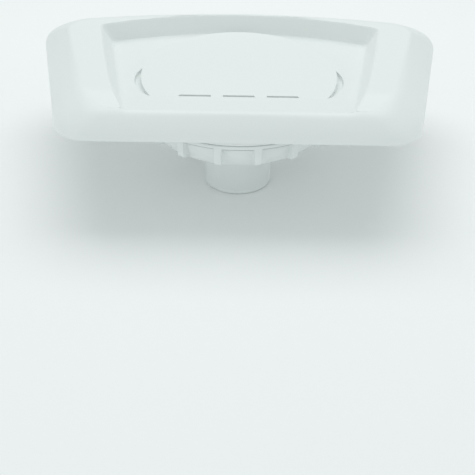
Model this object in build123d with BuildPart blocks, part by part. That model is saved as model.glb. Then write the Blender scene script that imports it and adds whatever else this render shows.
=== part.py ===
"""Tray-type drain funnel: a sloped tray with a lift-out deck on a bayonet drain bowl with an outlet spigot.

Frame: millimetres, +Z up, the front faces -Y, the origin is the centre of the spigot's lower end.
"""

import math
import os

from build123d import *

# Driving dimensions, in millimetres and degrees

# Fits
RUNNING_GAP = 0.4  # between curved faces of pieces that come apart
SEAT_GAP = 0.15  # between edges that sit in each other

# Outlet spigot: tube, end bead, flange under the bowl and neck through its floor
SPIGOT_DIAMETER = 40.0
SPIGOT_WALL = 3.5
SPIGOT_LENGTH = 32.2  # from its lower end to the bowl's underside
WAIST_DEPTH = 0.3  # how far the tube is drawn in above its end bead
BEAD_HEIGHT = 1.6
WAIST_HEIGHT = 5.0
TUBE_START = 9.0
END_ROUND = 0.8
FLANGE_WIDTH = 5.0
FLANGE_THICKNESS = 2.4
SEAL_THICKNESS = 1.2
NECK_STEP = 1.4  # how much the neck is smaller than the tube, in radius
NECK_RISE = 2.6  # above the bowl's floor

# Drain bowl
BOWL_FLOOR = 3.0
RIM_DIAMETER = 105.2
RIM_WALL = 3.2
RIM_HEIGHT = 9.2
RIM_ROUND = 1.0
LEDGE_WIDTH = 3.6
BAND_HEIGHT = 2.2
BAND_ROUND = 0.5
DISH_WALL = 3.8
DISH_DEPTH = 17.3  # from the band's lower edge to the underside
DISH_STRAIGHT = 1.3  # upright part of the dish's wall, under the band
RIB_COUNT = 16
RIB_WIDTH = 4.2
RIB_LENGTH = 10.6  # below the band
RIB_ROUND = 3.0

# Bayonet: entries and legs cut in the rim, a bump inside behind each, and lugs in the tray's socket
BAYONET_COUNT = 3
BAYONET_ANGLE = 249.6  # middle of the first entry, from +X
ENTRY_SWEEP = 14.4
LEG_SWEEP = 13.0
GROOVE_DEPTH = 1.9
GROOVE_RISE = 1.3  # above the ledge
LEG_HEIGHT = 3.4
BUMP_DEPTH = 1.3
BUMP_MARGIN = 1.2
ENTRY_DIP = 1.0  # how far the rim's top drops at an entry
LUG_PLAY = 4.4  # how much narrower a lug is than its entry
LUG_RISE = 0.5  # between a lug and the groove's floor, and again above it

# Spider nut, filter plate and paper
NUT_WALL = 4.25
NUT_HEIGHT = 4.2
HUB_DIAMETER = 9.6
HUB_DROP = 2.3  # from the band's lower edge to the hub's top
KEY_LENGTH = 16.4
KEY_WIDTH = 4.4
KEY_HEIGHT = 2.6
KEY_DROP = 0.4  # below the hub's top
ARM_COUNT = 4
ARM_WIDTH = 3.0
ARM_TOP_DROP = 1.6  # from the hub's top to where an arm leaves it
ARM_KNEE_RADIUS = 9.0
ARM_KNEE_DROP = 6.0
PLATE_THICKNESS = 2.4
PLATE_SKIRT_WALL = 1.8
PLATE_HOLE = 3.0
PLATE_RING_PITCH = 8.0
COLLAR_WALL = 1.8
COLLAR_HEIGHT = 3.4
PAPER_MARGIN = 2.7  # from the paper's edge to the plate's edge
PAPER_THICKNESS = 0.4

# Gasket between the bowl's rim and the tray's socket
GASKET_THICKNESS = 1.9
GASKET_WIDTH = 3.0

# Tray: socket and walls
SOCKET_WALL = 3.2
LEDGE_GAP = 0.3
TRAY_WALL = 3.0
FLOOR_THICKNESS = 4.0
SEAT_SLAB = 2.8  # between the socket's ceiling and the deck's underside

# Tray: recess, measured from the deck's edge
RECESS_SIDE = 14.0
RECESS_BEHIND = 3.8
RECESS_BOW = 14.5
RECESS_TAPER = 0.19
RECESS_ROUND = 6.0
RECESS_FRONT_ROUND = 1.0
RECESS_DRAFT_SIDE = 0.6  # growth for each millimetre above the floor
RECESS_DRAFT_BACK = 0.2
SHELF_DEPTH = 25.8  # from the slots to the front lip
SHELF_RISE = 3.4
CREASE_BACK = 8.0
BACK_FLOOR_SLOPE = 0.06

# Tray: lands round the recess
LAND_RISE = 10.7  # above the floor, at the funnel's axis
LAND_SLOPE = 0.06
LAND_WIDTH = 24.4  # from the recess's foot to the land's outer edge
LAND_TAPER = 0.25  # growth of the half width for each millimetre toward the back
LAND_BEHIND = 5.5
LAND_BOW = 13.5
LAND_FRONT_ROUND = 24.0
LAND_BACK_ROUND = 14.0
DIP_LENGTH = 17.0  # over which the lands fall to the lip
LIP_SLOPE = 0.3

# Tray: skirt, measured outward from the lands and the lip
SKIRT_LIFT = 4.9  # of the lower edge above the bowl's ledge
SKIRT_AHEAD = 8.0
SKIRT_BEHIND = 39.0
SKIRT_BOW = 6.5
SKIRT_SIDE = 15.4
SKIRT_TAPER = 0.242
SKIRT_FRONT_ROUND = 22.0
SKIRT_BACK_ROUND = 18.0
FRONT_FLARE = 12.0
BULGE = 0.69  # share of the skirt's flare that is reached half way down

# Deck
DECK_SLOPE = 0.068
DECK_FRONT_CUT = 28.0  # how much of the disc is cut off in front
DECK_EDGE_THICKNESS = 2.0
DECK_WALL = 2.4
DECK_SEAT_WIDTH = 10.0
DECK_RIB_COUNT = 3
DECK_RIB_PITCH = 26.0
SLOT_COUNT = 3
SLOT_LENGTH = 17.6
SLOT_WIDTH = 2.4
SLOT_PITCH = 24.0
FINGER_ANGLE = 9.5  # forward of straight sideways
FINGER_REACH = 3.4
FINGER_ROUND = 33.0

# Cutting tools reach this far past what they cut
OVERCUT = 1.0
BEYOND = 200.0  # well outside the tray
ABOVE_FLOOR = 40.0  # well above the tray's lands

# Radii worked out from the sizes
spigot_radius = SPIGOT_DIAMETER / 2
bore_radius = spigot_radius - SPIGOT_WALL
flange_radius = spigot_radius + FLANGE_WIDTH
neck_radius = spigot_radius - NECK_STEP
nut_inner = neck_radius + SEAT_GAP
nut_radius = nut_inner + NUT_WALL
rim_radius = RIM_DIAMETER / 2
rim_inner = rim_radius - RIM_WALL
band_radius = rim_radius + LEDGE_WIDTH
dish_radius = rim_inner + DISH_WALL
dish_round = DISH_DEPTH - DISH_STRAIGHT
inner_round = dish_round - BOWL_FLOOR
groove_radius = rim_radius - GROOVE_DEPTH
bump_inner = rim_inner - BUMP_DEPTH
plate_radius = bump_inner - RUNNING_GAP
collar_inner = KEY_LENGTH / 2 + RUNNING_GAP
socket_inner = rim_radius + RUNNING_GAP
socket_outer = socket_inner + SOCKET_WALL
deck_radius = band_radius
deck_hole = deck_radius - DECK_SEAT_WIDTH

# Heights above the spigot's lower end
bowl_bottom = SPIGOT_LENGTH
bowl_floor = bowl_bottom + BOWL_FLOOR
neck_top = bowl_floor + NECK_RISE
nut_top = bowl_floor + NUT_HEIGHT
band_bottom = bowl_bottom + DISH_DEPTH
hub_top = band_bottom - HUB_DROP
plate_top = hub_top + PLATE_THICKNESS
ledge_top = band_bottom + BAND_HEIGHT
groove_floor = ledge_top + GROOVE_RISE
rim_top = ledge_top + RIM_HEIGHT
skirt_bottom = ledge_top + SKIRT_LIFT
socket_ceiling = rim_top + GASKET_THICKNESS
deck_bottom = socket_ceiling + SEAT_SLAB
floor_height = deck_bottom + DECK_EDGE_THICKNESS
lip_height = floor_height + SHELF_RISE
land_height = floor_height + LAND_RISE

# Distances in front of, behind and beside the axis
deck_chord = deck_radius - DECK_FRONT_CUT
lip_front = deck_chord + SHELF_DEPTH
dip_start = lip_front - DIP_LENGTH
shelf_slope = SHELF_RISE / SHELF_DEPTH
recess_back = deck_radius + RECESS_BEHIND - RECESS_BOW
recess_half_width = deck_radius + RECESS_SIDE
skirt_front = lip_front + SKIRT_AHEAD
land_front = skirt_front - FRONT_FLARE
land_back = recess_back + LAND_BEHIND
land_half_width = recess_half_width + LAND_WIDTH
skirt_back = land_back + SKIRT_BEHIND
skirt_half_width = land_half_width + SKIRT_SIDE

pieces = {}


def keep(piece, name):
    """Labels a finished sub-part and remembers it for export."""
    piece.part.label = name
    pieces[name] = piece.part


def polar(radius, angle):
    """The point at a radius and at an angle from +X."""
    turned = math.radians(angle)
    return (radius * math.cos(turned), radius * math.sin(turned))


def land_z(y):
    """Height of the tray's top plane at a distance behind the axis."""
    return land_height + LAND_SLOPE * y


def deck_z(y):
    """Height of the deck's top plane, which meets the floor at the deck's front chord."""
    return floor_height + DECK_SLOPE * (y + deck_chord)


def ring_sector(height, inner, outer, start, sweep):
    """A flat piece of a ring between two radii and two angles."""
    angles = (start, start + sweep / 2, start + sweep)
    with BuildSketch(Plane.XY.offset(height)) as sector:
        with BuildLine():
            ThreePointArc(*[polar(outer, angle) for angle in angles])
            Line(polar(outer, angles[-1]), polar(inner, angles[-1]))
            ThreePointArc(*[polar(inner, angle) for angle in reversed(angles)])
            Line(polar(inner, angles[0]), polar(outer, angles[0]))
        make_face()
    return sector.sketch


def tray_outline(plane, front, back, bow, half_width, taper, front_round, back_round):
    """Plan of the tray at one height: straight front, sides that spread, and a bowed back."""
    front_corner = half_width - taper * front
    back_corner = half_width + taper * back
    with BuildSketch(plane) as outline:
        with BuildLine():
            Line((-front_corner, -front), (front_corner, -front))
            Line((front_corner, -front), (back_corner, back))
            ThreePointArc((back_corner, back), (0, back + bow), (-back_corner, back))
            Line((-back_corner, back), (-front_corner, -front))
        make_face()
        fillet(outline.vertices().group_by(Axis.Y)[0], front_round)
        fillet(outline.vertices().group_by(Axis.Y)[-1], back_round)
    return outline.sketch


def sloped_plane(height, slope):
    """A plane through the axis at a height, rising toward the back."""
    return Plane(origin=(0, 0, height), x_dir=(1, 0, 0), z_dir=(0, -slope, 1))


def skirt_form(inset, drop):
    """The tray's outer form from the skirt's lower edge to the lands, drawn in by a wall."""
    lower = (skirt_front, skirt_back, SKIRT_BOW, skirt_half_width, SKIRT_TAPER)
    lower = lower + (SKIRT_FRONT_ROUND, SKIRT_BACK_ROUND)
    upper = (land_front, land_back, LAND_BOW, land_half_width, LAND_TAPER)
    upper = upper + (LAND_FRONT_ROUND, LAND_BACK_ROUND)
    middle = tuple(u + (l - u) * BULGE for l, u in zip(lower, upper))
    shrink = (inset, inset, 0, inset, 0, inset, inset)
    lower, middle, upper = (
        tuple(value - less for value, less in zip(sizes, shrink))
        for sizes in (lower, middle, upper)
    )
    half_way = (skirt_bottom + land_height) / 2
    with BuildPart() as form:
        loft(
            sections=[
                tray_outline(Plane.XY.offset(skirt_bottom - drop), *lower),
                tray_outline(sloped_plane(half_way - inset / 2, LAND_SLOPE / 2), *middle),
                tray_outline(sloped_plane(land_height - inset, LAND_SLOPE), *upper),
            ]
        )
    return form.part


def above_dip(lower):
    """Everything above the curve by which the lands fall to the front lip."""
    start = (-dip_start, land_z(-dip_start) - lower)
    lip = (-lip_front, lip_height - lower)
    with BuildPart() as region:
        with BuildSketch(Plane.YZ):
            with BuildLine():
                Spline(start, lip, tangents=[(-1, -LAND_SLOPE), (-1, -LIP_SLOPE)])
                Polyline(
                    lip,
                    (-BEYOND, lip_height - lower - LIP_SLOPE * (BEYOND - lip_front)),
                    (-BEYOND, BEYOND),
                    (-dip_start, BEYOND),
                    start,
                )
            make_face()
        extrude(amount=BEYOND, both=True)
    return region.part


def recess_form(grow, sink):
    """The recess above the tray's floor, made wider by a wall and deeper by a floor thickness."""
    sections = []
    for rise in (-ABOVE_FLOOR, ABOVE_FLOOR):
        side = recess_half_width + RECESS_DRAFT_SIDE * rise + grow
        back = recess_back + RECESS_DRAFT_BACK * rise + grow
        sections.append(
            tray_outline(
                Plane.XY.offset(floor_height + rise),
                BEYOND / 2,
                back,
                RECESS_BOW,
                side,
                RECESS_TAPER,
                RECESS_FRONT_ROUND,
                RECESS_ROUND + grow,
            )
        )
    floor_line = [
        (-BEYOND, floor_height + shelf_slope * (BEYOND - deck_chord)),
        (-deck_chord, floor_height),
        (CREASE_BACK, floor_height),
        (BEYOND, floor_height + BACK_FLOOR_SLOPE * (BEYOND - CREASE_BACK)),
    ]
    with BuildPart() as form:
        loft(sections=sections)
        with BuildSketch(Plane.YZ):
            with BuildLine():
                Polyline(
                    *[(y, z - sink) for y, z in floor_line],
                    (BEYOND, BEYOND),
                    (-BEYOND, BEYOND),
                    close=True,
                )
            make_face()
        extrude(amount=BEYOND, both=True, mode=Mode.INTERSECT)
    return form.part


def deck_plan(height, radius, chord):
    """A disc cut off in front along a chord."""
    with BuildSketch(Plane.XY.offset(height)) as plan:
        Circle(radius)
        with Locations((0, -chord - radius)):
            Rectangle(2 * radius, 2 * radius, mode=Mode.SUBTRACT)
    return plan.sketch


def make_tray():
    """Sloped tray: skirt, lands, recess with deck seat, and the socket with its bayonet lugs."""
    with BuildPart() as hollow:
        add(skirt_form(TRAY_WALL, TRAY_WALL))
        add(above_dip(TRAY_WALL), mode=Mode.SUBTRACT)
        add(recess_form(TRAY_WALL, FLOOR_THICKNESS), mode=Mode.SUBTRACT)
    with BuildPart() as tray:
        add(skirt_form(0, 0))
        add(above_dip(0), mode=Mode.SUBTRACT)
        add(recess_form(0, 0), mode=Mode.SUBTRACT)
        add(hollow.part, mode=Mode.SUBTRACT)
        with BuildSketch(Plane.XY.offset(ledge_top + LEDGE_GAP)):
            Circle(socket_outer)
        extrude(amount=deck_bottom - ledge_top - LEDGE_GAP)
        with BuildSketch(Plane.XY.offset(ledge_top)):
            Circle(socket_inner)
        extrude(amount=socket_ceiling - ledge_top, mode=Mode.SUBTRACT)
        extrude(
            deck_plan(socket_ceiling - OVERCUT, deck_hole, deck_chord),
            amount=ABOVE_FLOOR,
            mode=Mode.SUBTRACT,
        )
        extrude(
            deck_plan(deck_bottom, deck_radius + RUNNING_GAP, deck_chord + SEAT_GAP),
            amount=ABOVE_FLOOR,
            mode=Mode.SUBTRACT,
        )
        for side in (180 + FINGER_ANGLE, -FINGER_ANGLE):
            middle = polar(deck_radius + RUNNING_GAP + FINGER_REACH - FINGER_ROUND, side)
            with BuildSketch(Plane.XY.offset(deck_bottom)):
                with Locations(middle):
                    Circle(FINGER_ROUND)
                Circle(deck_radius, mode=Mode.SUBTRACT)
            extrude(amount=FLOOR_THICKNESS, mode=Mode.SUBTRACT)
        lug_sweep = ENTRY_SWEEP - LUG_PLAY
        for index in range(BAYONET_COUNT):
            start = BAYONET_ANGLE + index * 360 / BAYONET_COUNT - lug_sweep / 2
            lug = ring_sector(
                groove_floor + LUG_RISE,
                groove_radius + RUNNING_GAP,
                socket_inner + SOCKET_WALL / 2,
                start,
                lug_sweep,
            )
            extrude(lug, amount=LEG_HEIGHT - 2 * LUG_RISE)
    keep(tray, "tray")


def make_deck():
    """Lift-out deck: sloped top, hollow and ribbed underneath, with the slots along its front edge."""
    with BuildPart() as cavity:
        front = deck_chord - SLOT_WIDTH - DECK_WALL
        extrude(deck_plan(deck_bottom, deck_hole - RUNNING_GAP, front), amount=ABOVE_FLOOR)
        with BuildSketch(Plane.YZ):
            under = [(y, deck_z(y) - DECK_WALL) for y in (-BEYOND, BEYOND)]
            with BuildLine():
                Polyline(*under, (BEYOND, BEYOND), (-BEYOND, BEYOND), close=True)
            make_face()
        extrude(amount=BEYOND, both=True, mode=Mode.SUBTRACT)
        with BuildSketch(Plane.XY.offset(deck_bottom)):
            with GridLocations(DECK_RIB_PITCH, 0, DECK_RIB_COUNT, 1):
                Rectangle(DECK_WALL, 2 * deck_radius)
        extrude(amount=ABOVE_FLOOR, mode=Mode.SUBTRACT)
    with BuildPart() as deck:
        extrude(deck_plan(deck_bottom, deck_radius, deck_chord), amount=ABOVE_FLOOR)
        with BuildSketch(Plane.YZ):
            top = [(y, deck_z(y)) for y in (-BEYOND, BEYOND)]
            with BuildLine():
                Polyline(*top, (BEYOND, BEYOND), (-BEYOND, BEYOND), close=True)
            make_face()
        extrude(amount=BEYOND, both=True, mode=Mode.SUBTRACT)
        add(cavity.part, mode=Mode.SUBTRACT)
        with BuildSketch(Plane.XY.offset(deck_bottom)):
            with Locations((0, -deck_chord + SLOT_WIDTH / 2)):
                with GridLocations(SLOT_PITCH, 0, SLOT_COUNT, 1):
                    Rectangle(SLOT_LENGTH, SLOT_WIDTH)
        extrude(amount=ABOVE_FLOOR, mode=Mode.SUBTRACT)
    keep(deck, "deck")


def make_rib():
    """One grip rib of the bowl, standing along +X."""
    foot = band_bottom - RIB_LENGTH
    reach = bowl_bottom + dish_round - foot
    wall = dish_radius - dish_round + math.sqrt(dish_round**2 - reach**2)
    with BuildPart() as rib:
        with BuildSketch(Plane.XZ) as side:
            with BuildLine():
                Polyline(
                    ((rim_inner + dish_radius) / 2, band_bottom + BAND_HEIGHT / 2),
                    (band_radius, band_bottom + BAND_HEIGHT / 2),
                    (band_radius, foot),
                    (wall - BOWL_FLOOR / 2, foot),
                    close=True,
                )
            make_face()
            fillet(side.vertices().group_by(Axis.Y)[0].sort_by(Axis.X)[-1], RIB_ROUND)
        extrude(amount=RIB_WIDTH / 2, both=True)
    return rib.part


def make_bowl():
    """Drain bowl: dished body, ribbed band and ledge, and the rim with its bayonet grooves."""
    outer_x = dish_radius - dish_round
    outer_z = bowl_bottom + dish_round
    inner_x = rim_inner - inner_round
    hole = neck_radius + RUNNING_GAP
    with BuildPart() as bowl:
        with BuildSketch(Plane.XZ) as profile:
            with BuildLine():
                Line((hole, bowl_bottom), (outer_x, bowl_bottom))
                CenterArc((outer_x, outer_z), dish_round, 270, 90)
                Polyline(
                    (dish_radius, outer_z),
                    (dish_radius, band_bottom),
                    (band_radius, band_bottom),
                    (band_radius, ledge_top),
                    (rim_radius, ledge_top),
                    (rim_radius, rim_top),
                    (rim_inner, rim_top),
                    (rim_inner, bowl_floor + inner_round),
                )
                CenterArc((inner_x, bowl_floor + inner_round), inner_round, 270, 90)
                Polyline((inner_x, bowl_floor), (hole, bowl_floor), (hole, bowl_bottom))
            make_face()
            fillet(profile.vertices().group_by(Axis.X)[-1], BAND_ROUND)
            fillet(profile.vertices().group_by(Axis.Y)[-1], RIM_ROUND)
        revolve(axis=Axis.Z)
        with PolarLocations(0, RIB_COUNT, start_angle=180 / RIB_COUNT):
            add(make_rib())
        for index in range(BAYONET_COUNT):
            entry = BAYONET_ANGLE + index * 360 / BAYONET_COUNT - ENTRY_SWEEP / 2
            margin = math.degrees(BUMP_MARGIN / rim_radius)
            bump_start = groove_floor - BUMP_MARGIN
            behind = (bump_inner, rim_inner + RIM_WALL / 4)
            cut = (groove_radius, rim_radius + RIM_WALL)
            whole = (entry - LEG_SWEEP - margin, LEG_SWEEP + ENTRY_SWEEP + 2 * margin)
            leg_rise = LEG_HEIGHT + 2 * BUMP_MARGIN
            extrude(ring_sector(bump_start, *behind, *whole), amount=leg_rise)
            upright = (entry - margin, ENTRY_SWEEP + 2 * margin)
            upright_rise = rim_top - ENTRY_DIP - bump_start
            extrude(ring_sector(bump_start, *behind, *upright), amount=upright_rise)
            leg = (entry - LEG_SWEEP, LEG_SWEEP + ENTRY_SWEEP / 2)
            extrude(
                ring_sector(groove_floor, *cut, *leg), amount=LEG_HEIGHT, mode=Mode.SUBTRACT
            )
            extrude(
                ring_sector(groove_floor, *cut, entry, ENTRY_SWEEP),
                amount=RIM_HEIGHT,
                mode=Mode.SUBTRACT,
            )
            extrude(
                ring_sector(rim_top - ENTRY_DIP, bump_inner - OVERCUT, cut[1], entry, ENTRY_SWEEP),
                amount=RIM_HEIGHT,
                mode=Mode.SUBTRACT,
            )
    keep(bowl, "drain_bowl")


def make_spigot():
    """Outlet spigot: waisted tube with an end bead, a flange, and the neck through the bowl."""
    flange_top = bowl_bottom - SEAL_THICKNESS
    with BuildPart() as spigot:
        with BuildSketch(Plane.XZ) as profile:
            with BuildLine():
                Polyline(
                    (bore_radius, 0),
                    (spigot_radius, 0),
                    (spigot_radius, BEAD_HEIGHT),
                    (spigot_radius - WAIST_DEPTH, WAIST_HEIGHT),
                    (spigot_radius, TUBE_START),
                    (spigot_radius, flange_top - FLANGE_THICKNESS),
                    (flange_radius, flange_top - FLANGE_THICKNESS),
                    (flange_radius, flange_top),
                    (neck_radius, flange_top),
                    (neck_radius, neck_top),
                    (bore_radius, neck_top),
                    close=True,
                )
            make_face()
            fillet(profile.vertices().group_by(Axis.Y)[0].sort_by(Axis.X)[-1], END_ROUND)
        revolve(axis=Axis.Z)
    keep(spigot, "outlet_spigot")


def make_flat_ring(name, height, inner, outer, thickness):
    """A flat ring: a seal or a gasket."""
    with BuildPart() as ring:
        with BuildSketch(Plane.XY.offset(height)):
            Circle(outer)
            Circle(inner, mode=Mode.SUBTRACT)
        extrude(amount=thickness)
    keep(ring, name)


def make_spider_nut():
    """Nut that holds the spigot, with arms up to the keyed hub in the middle of the bowl."""
    arm_bottom = neck_top + RUNNING_GAP
    arm_end = (nut_inner + nut_radius) / 2
    with BuildPart() as arm:
        with BuildSketch(Plane.XZ):
            with BuildLine():
                Polyline(
                    (0, arm_bottom),
                    (0, hub_top - ARM_TOP_DROP),
                    (HUB_DIAMETER / 2, hub_top - ARM_TOP_DROP),
                    (ARM_KNEE_RADIUS, hub_top - ARM_KNEE_DROP),
                    (arm_end, nut_top),
                    (arm_end, arm_bottom),
                    close=True,
                )
            make_face()
        extrude(amount=ARM_WIDTH / 2, both=True)
    with BuildPart() as nut:
        with BuildSketch(Plane.XY.offset(bowl_floor)):
            Circle(nut_radius)
            Circle(nut_inner, mode=Mode.SUBTRACT)
        extrude(amount=NUT_HEIGHT)
        with PolarLocations(0, ARM_COUNT):
            add(arm.part)
        with BuildSketch(Plane.XY.offset(arm_bottom)):
            Circle(HUB_DIAMETER / 2)
        extrude(amount=hub_top - arm_bottom)
        with BuildSketch(Plane.XY.offset(hub_top - KEY_DROP - KEY_HEIGHT)):
            Rectangle(KEY_LENGTH, KEY_WIDTH)
        extrude(amount=KEY_HEIGHT)
    keep(nut, "spider_nut")


def make_filter_plate():
    """Perforated plate on the hub: rim skirt down to the dish, and a collar round the key."""
    reach = plate_radius + RUNNING_GAP - (rim_inner - inner_round)
    skirt_foot = bowl_floor + inner_round - math.sqrt(inner_round**2 - reach**2)
    hole_span = plate_radius - PLATE_SKIRT_WALL - PLATE_HOLE - collar_inner
    with BuildPart() as plate:
        with BuildSketch(Plane.XY.offset(hub_top)):
            Circle(plate_radius)
            for ring in range(1, int(hole_span // PLATE_RING_PITCH) + 1):
                radius = collar_inner + ring * PLATE_RING_PITCH
                count = round(2 * math.pi * radius / PLATE_RING_PITCH)
                with PolarLocations(radius, count):
                    Circle(PLATE_HOLE / 2, mode=Mode.SUBTRACT)
        extrude(amount=PLATE_THICKNESS)
        with BuildSketch(Plane.XY.offset(skirt_foot)):
            Circle(plate_radius)
            Circle(plate_radius - PLATE_SKIRT_WALL, mode=Mode.SUBTRACT)
        extrude(amount=hub_top - skirt_foot)
        with BuildSketch(Plane.XY.offset(hub_top - COLLAR_HEIGHT)):
            Circle(collar_inner + COLLAR_WALL)
            Circle(collar_inner, mode=Mode.SUBTRACT)
        extrude(amount=COLLAR_HEIGHT)
    keep(plate, "filter_plate")


def make_filter_paper():
    """Paper disc on the plate."""
    with BuildPart() as paper:
        with BuildSketch(Plane.XY.offset(plate_top)):
            Circle(plate_radius - PAPER_MARGIN)
        extrude(amount=PAPER_THICKNESS)
    keep(paper, "filter_paper")


make_tray()
make_deck()
make_bowl()
make_spigot()
make_spider_nut()
make_filter_plate()
make_filter_paper()
make_flat_ring("rim_gasket", rim_top, rim_radius - GASKET_WIDTH, rim_radius, GASKET_THICKNESS)
make_flat_ring(
    "spigot_seal", bowl_bottom - SEAL_THICKNESS, nut_inner, flange_radius, SEAL_THICKNESS
)

os.makedirs("parts", exist_ok=True)
for name, part in pieces.items():
    export_step(part, f"parts/{name}.step")
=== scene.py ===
"""Tray drain funnel in white moulded polypropylene: its visual model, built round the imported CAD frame.

Sizes are in millimetres in the funnel's own frame: +Z up, the front faces -Y, and the origin is the
centre of the outlet spigot's lower end. Meshes are made in metres from them.
"""

import logging
import math
from dataclasses import dataclass
from enum import Enum

import bmesh
import bpy
import numpy as np
from mathutils import Euler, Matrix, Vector


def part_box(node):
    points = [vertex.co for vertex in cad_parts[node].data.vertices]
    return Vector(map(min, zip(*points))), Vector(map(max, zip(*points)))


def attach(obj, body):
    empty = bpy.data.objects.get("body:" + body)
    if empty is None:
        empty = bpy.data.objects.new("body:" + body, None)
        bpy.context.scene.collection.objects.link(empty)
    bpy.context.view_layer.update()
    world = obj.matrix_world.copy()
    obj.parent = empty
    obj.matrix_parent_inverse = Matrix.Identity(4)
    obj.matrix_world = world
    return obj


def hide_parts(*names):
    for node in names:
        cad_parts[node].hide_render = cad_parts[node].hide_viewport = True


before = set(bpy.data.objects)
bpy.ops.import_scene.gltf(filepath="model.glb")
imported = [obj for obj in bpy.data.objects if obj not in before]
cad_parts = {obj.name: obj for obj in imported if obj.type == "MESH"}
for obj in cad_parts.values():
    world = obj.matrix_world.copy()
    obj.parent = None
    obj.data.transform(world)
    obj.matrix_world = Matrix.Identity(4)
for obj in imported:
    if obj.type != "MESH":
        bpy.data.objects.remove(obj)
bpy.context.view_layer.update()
MM = 0.001
SHARP_ANGLE = math.radians(38.0)
log = logging.getLogger("tray_funnel")


def node_box(name: str) -> np.ndarray:
    """Lowest and highest corner of a CAD node in millimetres, as a 2 by 3 array."""
    return np.array([list(corner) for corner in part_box(name)]) / MM


BOWL_BOX = node_box("drain_bowl")
TRAY_BOX = node_box("tray")
DECK_BOX = node_box("deck")
SPIGOT_BOX = node_box("outlet_spigot")
GASKET_BOX = node_box("rim_gasket")
SEAL_BOX = node_box("spigot_seal")


# Shape formulas -------------------------------------------------------------------------------


def blend_min(a: np.ndarray, b: np.ndarray, width: float | np.ndarray) -> np.ndarray:
    """The lower of two heights, with their crossing rounded by a parabola.

    Args:
        a: Heights of the first surface.
        b: Heights of the second surface.
        width: Difference of height within which the two run into each other.

    Returns:
        The lower height, less h squared over four widths, where h is how far the difference is
        inside the width.
    """
    inside = np.clip(width - np.abs(a - b), 0.0, None)
    return np.minimum(a, b) - inside**2 / (4.0 * width)


def blend_max(a: np.ndarray, b: np.ndarray, width: float) -> np.ndarray:
    """The higher of two heights, with their crossing filled in as blend_min rounds it."""
    return -blend_min(-a, -b, width)


def smooth_step(low: float, high: float, value: np.ndarray) -> np.ndarray:
    """Rises from 0 at low to 1 at high along the cubic 3t squared less 2t cubed."""
    t = np.clip((value - low) / (high - low), 0.0, 1.0)
    return t * t * (3.0 - 2.0 * t)


def soft_path(corners: list[tuple[float, float, float]], steps: int = 5) -> np.ndarray:
    """A profile through corners, each cut off and bridged by a circular arc.

    The arc is the rational quadratic curve whose middle weight is the cosine of half the turn,
    which is a true arc when both cuts are equal. A corner without a turn gives points along the line,
    so that profiles with the same corners have matching points.

    Args:
        corners: Radius, height and cut length of each corner, in millimetres.
        steps: Number of stretches in each arc.

    Returns:
        Points of the profile, (corners * (steps + 1)) by 2.
    """
    data = np.array(corners, float)
    points, cuts = data[:, :2], data[:, 2]
    before, after = np.roll(points, 1, axis=0) - points, np.roll(points, -1, axis=0) - points
    long_before = np.linalg.norm(before, axis=1, keepdims=True)
    long_after = np.linalg.norm(after, axis=1, keepdims=True)
    unit_before, unit_after = before / long_before, after / long_after
    room = 0.5 * np.minimum(long_before, long_after)
    cut = np.minimum(cuts[:, None], room)
    turn = np.arccos(np.clip(-np.sum(unit_before * unit_after, axis=1), -1.0, 1.0))
    weight = np.cos(turn / 2.0)[:, None, None]
    t = np.linspace(0.0, 1.0, steps + 1)[None, :, None]
    start, end = (points + unit_before * cut)[:, None], (points + unit_after * cut)[:, None]
    top = (1 - t) ** 2 * start + 2 * weight * t * (1 - t) * points[:, None] + t**2 * end
    bottom = (1 - t) ** 2 + 2 * weight * t * (1 - t) + t**2
    return (top / bottom).reshape(-1, 2)


def turned(profile: np.ndarray, angles: np.ndarray) -> np.ndarray:
    """A profile of radius and height carried round the axis: rows by columns by 3."""
    radius, height = profile[:, 0, None], profile[:, 1, None]
    flat = np.ones_like(angles)[None, :]
    return np.stack([radius * np.cos(angles), radius * np.sin(angles), height * flat], axis=-1)


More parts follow.
